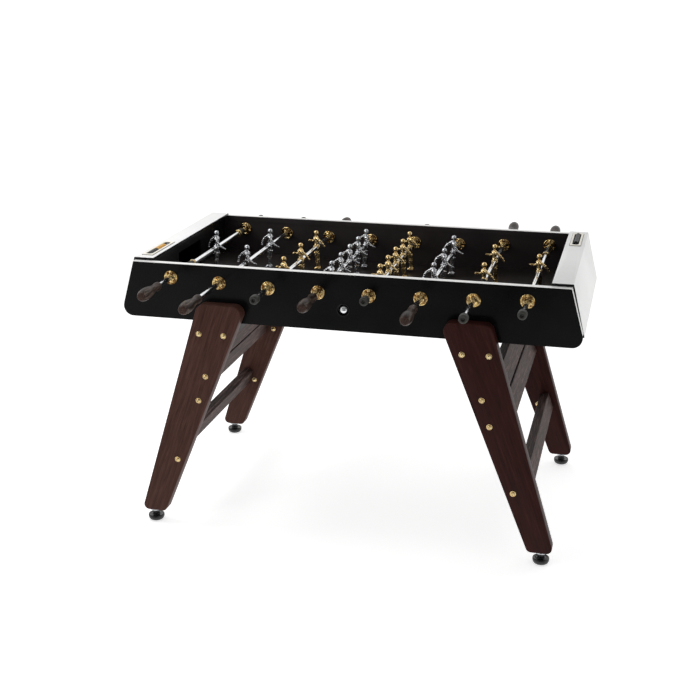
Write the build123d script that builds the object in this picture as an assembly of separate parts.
"""Eight-rod foosball table: box body on four splayed plank legs, with sliding and turning player rods.

Frame: X along the length, Y across (front side -Y), Z up, origin on the floor under the centre. Millimetres.
"""
import os
from math import cos, hypot, radians, sin

from build123d import *

os.makedirs("parts", exist_ok=True)

# ---- body -------------------------------------------------------------------------------------
PANEL_TOP_HALF = 699.0       # half length of a side panel along its top edge
PANEL_BOTTOM_HALF = 750.0    # half length along the bottom edge, before the corner rounding
PANEL_TOP_Z = 898.0
PANEL_BOTTOM_Z = 715.0
PANEL_CORNER_R = 32.0
BODY_HALF_WIDTH = 386.0      # outer face of the side panels
PANEL_T = 20.0
RIM_DEPTH = 18.0             # thicker strip along the inside top of each side panel
RIM_T = 2.0
TRIM_T = 1.2                 # pale edging laid over the top and down the sloping ends of each side panel
TRIM_GAP = 0.3               # between the edging and the end covers
TRIM_END_Z = 757.0           # where the edging stops, just above the rounded corner
INNER_Y = BODY_HALF_WIDTH - PANEL_T

COVER_TOP_Z = 908.0          # end covers stand a little above the side panels
COVER_TOP_T = 7.0
COVER_INNER_X = 638.0
COVER_OUTER_X = 703.6        # outer top corner of an end cover
COVER_FOOT_X = 744.0         # outer face at its lower edge
COVER_FOOT_Z = 744.0
COVER_END_T = 10.0

GOAL_WALL_X = 655.0          # playing side of the end walls
GOAL_WALL_T = 7.0
GOAL_HALF_WIDTH = 105.0
GOAL_TOP_Z = 862.0

FIELD_CENTRE_Z = 748.0       # the field is a shallow hollow along X, lowest at the centre
FIELD_END_Z = 771.7
FIELD_UNDER_Z = 734.0
TRAY_TOP_Z = 734.0
TRAY_T = 12.0
TRAY_END_X = 727.0           # both stay inside the rounded corner of the side panels
TRAY_LIP_X = 737.0
TRAY_LIP_T = 16.0

# ---- player rods --------------------------------------------------------------------------------
ROD_SPACING = 163.0
ROD_R = 8.0
ROD_Z = [852.8, 844.4, 838.6, 835.9]          # outermost pair to innermost pair
MEN = [1, 2, 3, 5, 5, 3, 2, 1]
MEN_PITCH = {1: 0.0, 2: 260.0, 3: 200.0, 5: 122.0}
TRAVEL = {1: 90.0, 2: 150.0, 3: 100.0, 5: 58.0}   # slide each way from the middle of the table
GRIP_START = {1: 532.0, 2: 590.0, 3: 530.0, 5: 462.0}
ROD_REST = [42.0, 22.0, -10.0, 25.0, 25.0, 33.0, -22.0, -30.0]
HANDLE_AT_FRONT = [True, True, False, True, False, True, False, False]
BORE_CLEARANCE = 0.08
BODY_GAP = 0.4               # left between separate bodies that face each other
FLANGE_R = 22.5
FLANGE_T = 5.0
BOSS_R = 12.5
BOSS_T = 4.0
FLANGE_SCREW_R = 16.5
HUB_HALF = 14.0
HUB_R = 13.0
COLLAR_AT = 238.0            # stop collars of the goalkeeper rods
COLLAR_HALF = 7.0
COLLAR_R = 13.0
BUFFER_R = 12.0              # rubber sleeves beside the outermost figures
BUFFER_CLEARANCE = 0.35
BUFFER_LENGTH = {1: 18.0, 2: 8.0, 3: 8.0, 5: 8.0}
GRIP_LENGTH = 140.0
CAP_LENGTH = 27.0
CAP_R = 15.5

# ---- player figure, rod axis at its origin ---------------------------------------------------------
HEAD_Z = 51.0
HEAD_R = 12.0
SHOULDER_Z = 33.0
HIP_Z = -10.0
SOLE_Z = -79.0
FOOT_X = 26.0
FOOT_Y = 22.0
FOOT_H = 15.0

# ---- legs, rails, feet ---------------------------------------------------------------------------
LEG_T = 45.0
LEG_OUTLINE = [(310.0, 781.0), (469.0, 781.0), (694.5, 42.0), (611.0, 42.0)]
LEG_TOP_R = 28.0
LEG_BOTTOM_R = 18.0
LEG_BOLTS = [(466.0, 684.0), (383.0, 683.0), (449.0, 540.0), (476.0, 455.0), (558.0, 239.0)]
BOLT_R = 5.0
BOLT_HEAD_R = 9.5
BOLT_HEAD_H = 7.0
RAIL_TILT = 19.5
RAIL_T = 34.0
LOWER_RAIL = (588.5, 253.5, 62.0)
UPPER_RAILS = [(513.6, 476.7, 80.0), (484.2, 559.7, 80.0)]
BEARER = (382.0, 466.0, 655.0)    # inner x, outer x and underside of the cross bearer under the body
FOOT_AT_X = 654.0
FOOT_PAD_R = 27.0
FOOT_STEM_R = 6.0
FOOT_STEM_TOP = 78.0
FOOT_HOLE_TOP = 96.0

# ---- score counters ------------------------------------------------------------------------------
SCORE_HALF_LENGTH = 98.0
SCORE_CENTRE_Y = 236.0
SCORE_CENTRE_X = 671.5
SCORE_HALF_WIDTH = 19.5
SLOT_HALF_WIDTH = 13.0
BEZEL_T = 2.5
BEAD_R = 9.0
BEAD_PITCH = 13.2
BEAD_COUNT = 10
SCORE_ROD_R = 2.0

# ---- serve hole and ball ---------------------------------------------------------------------------
BALL_R = 17.0
SERVE_Z = 784.0
SERVE_R = 18.2
SERVE_RING_R = 21.0
SERVE_RING_T = 2.0
SERVE_BUSH_T = 1.8
BALL_DEPTH = 14.0            # the ball's centre lies this far behind the panel's outer face

LEG_Y = BODY_HALF_WIDTH + LEG_T / 2


def save(shape, name):
    """Write one node, made of one solid or a group of separate solids."""
    export_step(shape, f"parts/{name}.step")


def group(solids):
    return Compound(children=list(solids))


def rod_x(k):
    return (k - 3.5) * ROD_SPACING


def rod_z(k):
    return ROD_Z[min(k, 7 - k)]


def pin(x, y0, y1, z, r):
    """Cylinder along Y from y0 to y1."""
    return Pos(x, (y0 + y1) / 2, z) * Rot(90, 0, 0) * Cylinder(r, abs(y1 - y0))


def block(x0, x1, y0, y1, z0, z1):
    return Pos((x0 + x1) / 2, (y0 + y1) / 2, (z0 + z1) / 2) * Box(x1 - x0, y1 - y0, z1 - z0)


def plate(points, y0, y1):
    """Flat plate: an outline in X and Z, extruded from y0 to y1."""
    outline = Polyline([(x, 0, z) for x, z in points], close=True)
    return Pos(0, y0, 0) * push_y(outline, y1 - y0)


def push_y(edges, length):
    """Extrude a closed outline drawn in X and Z along +Y."""
    return Solid.extrude(make_face(edges).face(), Vector(0, length, 0))


# ---- side panels -----------------------------------------------------------------------------------
def side_panel(sign):
    outline = [(-PANEL_TOP_HALF, PANEL_TOP_Z), (PANEL_TOP_HALF, PANEL_TOP_Z),
               (PANEL_BOTTOM_HALF, PANEL_BOTTOM_Z), (-PANEL_BOTTOM_HALF, PANEL_BOTTOM_Z)]
    body = plate(outline, INNER_Y, BODY_HALF_WIDTH)
    corners = body.edges().filter_by(Axis.Y).group_by(Axis.Z)[0]
    body = fillet(corners, PANEL_CORNER_R)
    body += block(-COVER_INNER_X + 1, COVER_INNER_X - 1, INNER_Y - RIM_T, INNER_Y + 1,
                  PANEL_TOP_Z - RIM_DEPTH, PANEL_TOP_Z)
    for k in range(8):
        body -= pin(rod_x(k), INNER_Y - 5, BODY_HALF_WIDTH + 5, rod_z(k), ROD_R + 4)
        for a in (90, 210, 330):
            sx = rod_x(k) + FLANGE_SCREW_R * cos(radians(a))
            sz = rod_z(k) + FLANGE_SCREW_R * sin(radians(a))
            body -= pin(sx, INNER_Y - 5, BODY_HALF_WIDTH + 5, sz, 2.0)
    if sign < 0:
        body -= pin(0, INNER_Y - 5, BODY_HALF_WIDTH + 5, SERVE_Z, SERVE_R + SERVE_BUSH_T)
        body = mirror(body, about=Plane.XZ)
    return body


save(side_panel(-1), "front_side_panel")
save(side_panel(1), "back_side_panel")


def edging():
    """Thin strip over the top edge of a side panel, bent down along both sloping ends."""
    lean = (PANEL_BOTTOM_HALF - PANEL_TOP_HALF) / (PANEL_TOP_Z - PANEL_BOTTOM_Z)
    across = hypot(1, lean)
    end_x = PANEL_TOP_HALF + lean * (PANEL_TOP_Z - TRIM_END_Z)
    inner = [(PANEL_TOP_HALF, PANEL_TOP_Z), (end_x, TRIM_END_Z)]
    outer = [(end_x + TRIM_T / across, TRIM_END_Z + TRIM_T * lean / across),
             (PANEL_TOP_HALF + TRIM_T * (across - lean), PANEL_TOP_Z + TRIM_T)]
    right = inner + outer
    left = [(-x, z) for x, z in right]
    return plate(right + left[::-1], INNER_Y + TRIM_GAP, BODY_HALF_WIDTH)


save(group([edging(), mirror(edging(), about=Plane.XZ)]), "panel_top_edgings")


# ---- end covers, with a slot for the score counter -----------------------------------------------------
def end_cover(sign):
    slope = (COVER_FOOT_X - COVER_OUTER_X) / (COVER_TOP_Z - COVER_FOOT_Z)
    in_x = COVER_OUTER_X - COVER_END_T + slope * COVER_TOP_T
    outline = [(COVER_INNER_X, COVER_TOP_Z), (COVER_OUTER_X, COVER_TOP_Z), (COVER_FOOT_X, COVER_FOOT_Z),
               (COVER_FOOT_X - COVER_END_T, COVER_FOOT_Z), (in_x, COVER_TOP_Z - COVER_TOP_T),
               (COVER_INNER_X, COVER_TOP_Z - COVER_TOP_T)]
    cover = plate(outline, -INNER_Y, INNER_Y)
    cover -= block(SCORE_CENTRE_X - SLOT_HALF_WIDTH, SCORE_CENTRE_X + SLOT_HALF_WIDTH,
                   SCORE_CENTRE_Y - SCORE_HALF_LENGTH + 10, SCORE_CENTRE_Y + SCORE_HALF_LENGTH - 10,
                   COVER_TOP_Z - 20, COVER_TOP_Z + 5)
    if sign < 0:
        cover = Rot(0, 0, 180) * cover
    return cover


save(end_cover(1), "right_end_cover")
save(end_cover(-1), "left_end_cover")


# ---- end walls with the goal mouths --------------------------------------------------------------------
def goal_wall(sign):
    wall = block(GOAL_WALL_X, GOAL_WALL_X + GOAL_WALL_T, -INNER_Y, INNER_Y,
                 FIELD_END_Z, COVER_TOP_Z - COVER_TOP_T)
    wall -= block(GOAL_WALL_X - 5, GOAL_WALL_X + GOAL_WALL_T + 5, -GOAL_HALF_WIDTH, GOAL_HALF_WIDTH,
                  FIELD_END_Z - 5, GOAL_TOP_Z)
    if sign < 0:
        wall = Rot(0, 0, 180) * wall
    return wall


save(goal_wall(1), "right_goal_wall")
save(goal_wall(-1), "left_goal_wall")

# ---- playing field, a board with a shallow hollow along its length ------------------------------------------
arc = ThreePointArc((-GOAL_WALL_X, 0, FIELD_END_Z), (0, 0, FIELD_CENTRE_Z), (GOAL_WALL_X, 0, FIELD_END_Z))
field_edges = [
    arc,
    Line((GOAL_WALL_X, 0, FIELD_END_Z), (GOAL_WALL_X + GOAL_WALL_T, 0, FIELD_END_Z)),
    Line((GOAL_WALL_X + GOAL_WALL_T, 0, FIELD_END_Z), (GOAL_WALL_X + GOAL_WALL_T, 0, FIELD_UNDER_Z)),
    Line((GOAL_WALL_X + GOAL_WALL_T, 0, FIELD_UNDER_Z), (-GOAL_WALL_X - GOAL_WALL_T, 0, FIELD_UNDER_Z)),
    Line((-GOAL_WALL_X - GOAL_WALL_T, 0, FIELD_UNDER_Z), (-GOAL_WALL_X - GOAL_WALL_T, 0, FIELD_END_Z)),
    Line((-GOAL_WALL_X - GOAL_WALL_T, 0, FIELD_END_Z), (-GOAL_WALL_X, 0, FIELD_END_Z)),
]
save(Pos(0, -INNER_Y, 0) * push_y(field_edges, 2 * INNER_Y), "playing_field")


# ---- trays that catch the ball behind the goals ----------------------------------------------------------
def goal_tray(sign):
    tray = block(GOAL_WALL_X - 15, TRAY_END_X, -INNER_Y, INNER_Y, TRAY_TOP_Z - TRAY_T, TRAY_TOP_Z)
    tray += block(TRAY_LIP_X - TRAY_LIP_T, TRAY_LIP_X, -INNER_Y, INNER_Y, TRAY_TOP_Z, COVER_FOOT_Z)
    if sign < 0:
        tray = Rot(0, 0, 180) * tray
    return tray


save(group([goal_tray(1), goal_tray(-1)]), "goal_ball_trays")


# ---- serve hole: a flanged ring in the middle of the front panel, with the ball waiting in it --------------------
ring = pin(0, -INNER_Y, -BODY_HALF_WIDTH, SERVE_Z, SERVE_R + SERVE_BUSH_T)
ring += pin(0, -BODY_HALF_WIDTH, -BODY_HALF_WIDTH - SERVE_RING_T, SERVE_Z, SERVE_RING_R)
ring -= pin(0, -INNER_Y + 5, -BODY_HALF_WIDTH - 5, SERVE_Z, SERVE_R)
save(ring, "serve_ring")
save(Pos(0, -BODY_HALF_WIDTH + BALL_DEPTH, SERVE_Z - (SERVE_R - BALL_R) + 0.4) * Sphere(BALL_R), "ball")


# ---- rod bearings: a bush through the panel with a screwed flange on each side ----------------------------------
def bearing(k, sign):
    bush = pin(0, INNER_Y, BODY_HALF_WIDTH, 0, ROD_R + 4)
    bush += pin(0, BODY_HALF_WIDTH, BODY_HALF_WIDTH + FLANGE_T, 0, FLANGE_R)
    bush += pin(0, BODY_HALF_WIDTH, BODY_HALF_WIDTH + FLANGE_T + BOSS_T, 0, BOSS_R)
    bush += pin(0, INNER_Y - FLANGE_T, INNER_Y, 0, FLANGE_R)
    bush += pin(0, INNER_Y - FLANGE_T - BOSS_T, INNER_Y, 0, BOSS_R)
    bush -= pin(0, INNER_Y - 20, BODY_HALF_WIDTH + 20, 0, ROD_R + BORE_CLEARANCE)
    for a in (90, 210, 330):
        bush -= pin(FLANGE_SCREW_R * cos(radians(a)), INNER_Y - 20, BODY_HALF_WIDTH + 20,
                    FLANGE_SCREW_R * sin(radians(a)), 2.0)
    if sign < 0:
        bush = mirror(bush, about=Plane.XZ)
    return Pos(rod_x(k), 0, rod_z(k)) * bush


def through_screw(x, z, sign):
    """Screw through a panel and both flanges, with a low head at each end."""
    out = BODY_HALF_WIDTH + FLANGE_T
    inn = INNER_Y - FLANGE_T
    screw = pin(x, inn, out, z, 2.0)
    screw += pin(x, out, out + 1.8, z, 3.6)
    screw += pin(x, inn - 1.8, inn, z, 3.6)
    if sign < 0:
        screw = mirror(screw, about=Plane.XZ)
    return screw


bearings = []
screws = []
for sign in (-1, 1):
    for k in range(8):
        bearings.append(bearing(k, sign))
        for a in (90, 210, 330):
            sx = rod_x(k) + FLANGE_SCREW_R * cos(radians(a))
            sz = rod_z(k) + FLANGE_SCREW_R * sin(radians(a))
            screws.append(through_screw(sx, sz, sign))
save(group(bearings), "rod_bearings")
save(group(screws), "bearing_screws")


# ---- player figure: built round the rod axis, facing +X -------------------------------------------------------------
def tapered(x0, z0, hx0, hy0, x1, z1, hx1, hy1):
    """Rounded limb or trunk between two upright levels, each an ellipse."""
    low = Pos(x0, 0, z0) * Ellipse(hx0, hy0)
    high = Pos(x1, 0, z1) * Ellipse(hx1, hy1)
    return loft([low, high])


def limb(a, b, r):
    """Straight round limb between two points with a round end."""
    va = Vector(*a)
    vb = Vector(*b)
    run = vb - va
    shaft = Solid.make_cylinder(r, run.length, Plane(origin=va, z_dir=run))
    return shaft + Pos(*b) * Sphere(r)


def make_figure():
    trunk = tapered(0, HIP_Z - 6, 10.5, 11.5, 0, SHOULDER_Z + 5, 10.5, 14.5)
    hub = pin(0, -HUB_HALF, HUB_HALF, 0, HUB_R)
    legs = tapered(0, SOLE_Z + FOOT_H - 2, 6.5, 9.0, 0, HIP_Z, 9.5, 11.0)
    foot = block(-FOOT_X / 2, FOOT_X / 2, -FOOT_Y / 2, FOOT_Y / 2, SOLE_Z, SOLE_Z + FOOT_H)
    foot = fillet(foot.edges().filter_by(Axis.Z), 5)
    neck = Pos(0, 0, SHOULDER_Z + 6) * Cylinder(5, 12)
    head = Pos(0, 0, HEAD_Z) * Sphere(HEAD_R)
    front_arm = limb((0, -14, SHOULDER_Z - 2), (17, -18, SHOULDER_Z - 11), 4.8)
    front_hand = limb((17, -18, SHOULDER_Z - 11), (29, -14, SHOULDER_Z - 1), 4.3)
    rear_arm = limb((0, 14, SHOULDER_Z - 2), (-20, 18, SHOULDER_Z - 12), 4.8)
    rear_hand = limb((-20, 18, SHOULDER_Z - 12), (-26, 16, SHOULDER_Z - 26), 4.3)
    man = trunk + hub + legs + foot + neck + head + front_arm + front_hand + rear_arm + rear_hand
    return man - pin(0, -40, 40, 0, ROD_R)


FIGURE = make_figure()


def men_places(k):
    """Places of the figures along rod k, from the middle of the rod."""
    count = MEN[k]
    return [(i - (count - 1) / 2) * MEN_PITCH[count] for i in range(count)]


def stop_place(k):
    """Half distance between the two faces that the rubber buffers lean on."""
    if MEN[k] == 1:
        return COLLAR_AT + COLLAR_HALF
    return men_places(k)[-1] + HUB_HALF


def buffer(y0, y1):
    """Rubber sleeve, loose on the bar, that softens the stop at the wall."""
    return pin(0, y0, y1, 0, BUFFER_R) - pin(0, min(y0, y1) - 5, max(y0, y1) + 5, 0, ROD_R + BUFFER_CLEARANCE)


def grip_profile(start, length):
    """Turned grip, drawn as radius against distance: a small bead, a waist and a long swell."""
    pts = [(start, 12.5), (start + 0.09 * length, 14.2), (start + 0.25 * length, 12.2),
           (start + 0.66 * length, 18.8), (start + 0.88 * length, 17.6), (start + length - 6, 13.5)]
    curve = Spline([(0, y, r) for y, r in pts])
    end = start + length
    edges = [
        Line((0, start, ROD_R), (0, start, pts[0][1])),
        curve,
        Line((0, pts[-1][0], pts[-1][1]), (0, end, 9.0)),
        Line((0, end, 9.0), (0, end, 0)),
        Line((0, end, 0), (0, end - 30, 0)),
        Line((0, end - 30, 0), (0, end - 30, ROD_R)),
        Line((0, end - 30, ROD_R), (0, start, ROD_R)),
    ]
    return revolve(make_face(edges), Axis.Y)


def make_rod(k):
    """Bar, figures, grip with end cap, and rubber buffers of rod k, built facing the back with the grip at +Y."""
    count = MEN[k]
    start = GRIP_START[count]
    reach = BODY_HALF_WIDTH + FLANGE_T + BOSS_T + 3 + TRAVEL[count]
    bar = pin(0, -reach - CAP_LENGTH + 8, start + GRIP_LENGTH - 30, 0, ROD_R)
    cap = pin(0, -reach - CAP_LENGTH, -reach, 0, CAP_R) - pin(0, -reach - CAP_LENGTH + 8, -reach + 5, 0, ROD_R)
    cap = fillet(cap.edges().group_by(Axis.Y)[0], 4)
    men = [Pos(0, y, 0) * FIGURE for y in men_places(k)]
    if count == 1:
        for side in (-1, 1):
            y0, y1 = sorted((side * (COLLAR_AT - COLLAR_HALF), side * (COLLAR_AT + COLLAR_HALF)))
            men.append(pin(0, y0, y1, 0, COLLAR_R) - pin(0, y0 - 5, y1 + 5, 0, ROD_R))
    near = stop_place(k) + BODY_GAP
    far = near + BUFFER_LENGTH[count]
    return bar, men, [grip_profile(start, GRIP_LENGTH), cap], [buffer(near, far), buffer(-far, -near)]


for k in range(8):
    bar, men, ends, buffers = make_rod(k)
    place = Pos(rod_x(k), ROD_REST[k], rod_z(k))
    turn = Rot(0, 0, 180) if HANDLE_AT_FRONT[k] else Rot(0, 0, 0)
    face = Rot(0, 0, 0) if HANDLE_AT_FRONT[k] else Rot(0, 0, 180)
    n = k + 1
    save(place * turn * bar, f"rod_{n}_bar")
    save(group([place * face * man for man in men]), f"rod_{n}_figures")
    save(group([place * turn * end for end in ends]), f"rod_{n}_handle_and_cap")
    save(group([place * turn * sleeve for sleeve in buffers]), f"rod_{n}_rubber_buffers")


# ---- legs ------------------------------------------------------------------------------------------------------------
def make_leg(sx, sy):
    leg = plate(LEG_OUTLINE, BODY_HALF_WIDTH, BODY_HALF_WIDTH + LEG_T)
    upright = leg.edges().filter_by(Axis.Y).group_by(Axis.Z)
    leg = fillet(upright[-1], LEG_TOP_R)
    upright = leg.edges().filter_by(Axis.Y).group_by(Axis.Z)
    leg = fillet(upright[0], LEG_BOTTOM_R)
    for x, z in LEG_BOLTS:
        leg -= pin(x, BODY_HALF_WIDTH - 5, BODY_HALF_WIDTH + LEG_T + 5, z, BOLT_R)
    leg -= Pos(FOOT_AT_X, LEG_Y, FOOT_HOLE_TOP / 2) * Cylinder(FOOT_STEM_R + 0.4, FOOT_HOLE_TOP)
    return place_corner(leg, sx, sy)


def place_corner(shape, sx, sy):
    """Carry a shape made for the corner at +X, +Y to another corner."""
    if sx < 0:
        shape = mirror(shape, about=Plane.YZ)
    if sy < 0:
        shape = mirror(shape, about=Plane.XZ)
    return shape


def make_bolt(x, z):
    """Bolt with a low round head outside the leg and a domed nut inside it."""
    out = BODY_HALF_WIDTH + LEG_T
    inn = BODY_HALF_WIDTH
    bolt = pin(x, inn, out, z, BOLT_R)
    bolt += pin(x, out, out + BOLT_HEAD_H, z, BOLT_HEAD_R)
    bolt += pin(x, inn - BOLT_HEAD_H, inn, z, BOLT_HEAD_R)
    return bolt


def make_foot():
    """Bowl-shaped pad on a threaded stem, upright at the origin."""
    rim = 10.0
    edges = [
        Line((0, 0, 0), (FOOT_PAD_R - 6, 0, 0)),
        ThreePointArc((FOOT_PAD_R - 6, 0, 0), (FOOT_PAD_R - 1, 0, rim / 2), (FOOT_PAD_R, 0, rim)),
        Line((FOOT_PAD_R, 0, rim), (FOOT_PAD_R, 0, rim + 9)),
        Line((FOOT_PAD_R, 0, rim + 9), (FOOT_PAD_R - 6, 0, rim + 13)),
        Line((FOOT_PAD_R - 6, 0, rim + 13), (11, 0, rim + 13)),
        Line((11, 0, rim + 13), (11, 0, rim + 26)),
        Line((11, 0, rim + 26), (FOOT_STEM_R, 0, rim + 26)),
        Line((FOOT_STEM_R, 0, rim + 26), (FOOT_STEM_R, 0, FOOT_STEM_TOP)),
        Line((FOOT_STEM_R, 0, FOOT_STEM_TOP), (0, 0, FOOT_STEM_TOP)),
        Line((0, 0, FOOT_STEM_TOP), (0, 0, 0)),
    ]
    return revolve(make_face(edges), Axis.Z)


CORNERS = {"front_left": (-1, -1), "front_right": (1, -1), "back_left": (-1, 1), "back_right": (1, 1)}
bolts = []
for name, (sx, sy) in CORNERS.items():
    save(make_leg(sx, sy), f"leg_{name}")
    save(Pos(sx * FOOT_AT_X, sy * LEG_Y, 0) * make_foot(), f"foot_{name}")
    for x, z in LEG_BOLTS:
        if z > BEARER[2]:
            bolts.append(place_corner(pin(x, BODY_HALF_WIDTH, BODY_HALF_WIDTH + LEG_T, z, BOLT_R)
                                      + pin(x, BODY_HALF_WIDTH + LEG_T, BODY_HALF_WIDTH + LEG_T + BOLT_HEAD_H,
                                            z, BOLT_HEAD_R), sx, sy))
        else:
            bolts.append(place_corner(make_bolt(x, z), sx, sy))
save(group(bolts), "leg_bolts")


# ---- cross rails between the legs of each pair -------------------------------------------------------------------------
def rail(x, z, height, sx):
    """Plank on edge, leaning with the leg, from the front leg to the back leg."""
    plank = Pos(x, 0, z) * Rot(0, -RAIL_TILT, 0) * Box(RAIL_T, 2 * BODY_HALF_WIDTH, height)
    plank = fillet(plank.edges().filter_by(Axis.Y), 3)
    return place_corner(plank, sx, 1)


save(group([rail(*LOWER_RAIL, sx) for sx in (-1, 1)]), "lower_leg_rails")
save(group([rail(*spec, sx) for sx in (-1, 1) for spec in UPPER_RAILS]), "upper_leg_rails")
bearers = []
for sx in (-1, 1):
    x0, x1 = sorted((sx * BEARER[0], sx * BEARER[1]))
    bearers.append(block(x0, x1, -BODY_HALF_WIDTH, BODY_HALF_WIDTH, BEARER[2], PANEL_BOTTOM_Z))
save(group(bearers), "body_bearers")


# ---- score counters: a bezel with a slot, a thin rod and a stack of beads -----------------------------------------------
def score_bezel():
    x0 = SCORE_CENTRE_X - SCORE_HALF_WIDTH
    x1 = SCORE_CENTRE_X + SCORE_HALF_WIDTH
    y0 = SCORE_CENTRE_Y - SCORE_HALF_LENGTH
    y1 = SCORE_CENTRE_Y + SCORE_HALF_LENGTH
    bezel = block(x0, x1, y0, y1, COVER_TOP_Z, COVER_TOP_Z + BEZEL_T)
    slot = SlotOverall(2 * SCORE_HALF_LENGTH - 26, 2 * SLOT_HALF_WIDTH - 4)
    bezel -= Pos(SCORE_CENTRE_X, SCORE_CENTRE_Y, COVER_TOP_Z - 5) * Rot(0, 0, 90) * extrude(slot, 12)
    shelf = COVER_TOP_Z - COVER_TOP_T - 4
    y_in = SCORE_CENTRE_Y - SCORE_HALF_LENGTH + 10
    y_out = SCORE_CENTRE_Y + SCORE_HALF_LENGTH - 10
    for y in (y_in, y_out - 4):
        bezel += block(SCORE_CENTRE_X - BEAD_R + 1, SCORE_CENTRE_X + BEAD_R - 1, y, y + 4, shelf, COVER_TOP_Z)
    bezel += pin(SCORE_CENTRE_X, y_in, y_out, COVER_TOP_Z - 3, SCORE_ROD_R)
    return bezel


def bead_stack():
    """Ten beads touching in a row at the outer end of the rod."""
    first = SCORE_CENTRE_Y + SCORE_HALF_LENGTH - 14.4 - BEAD_PITCH
    beads = []
    for i in range(BEAD_COUNT):
        y0 = first - i * BEAD_PITCH
        bead = pin(SCORE_CENTRE_X, y0, y0 + BEAD_PITCH - 0.2, COVER_TOP_Z - 3, BEAD_R)
        bead = chamfer(bead.edges().filter_by(GeomType.CIRCLE), 2.5)
        beads.append(bead - pin(SCORE_CENTRE_X, y0 - 5, y0 + 20, COVER_TOP_Z - 3, SCORE_ROD_R + BORE_CLEARANCE))
    return beads


save(group([score_bezel(), Rot(0, 0, 180) * score_bezel()]), "score_bezels")
save(group(bead_stack()), "score_beads_right")
save(group([Rot(0, 0, 180) * bead for bead in bead_stack()]), "score_beads_left")
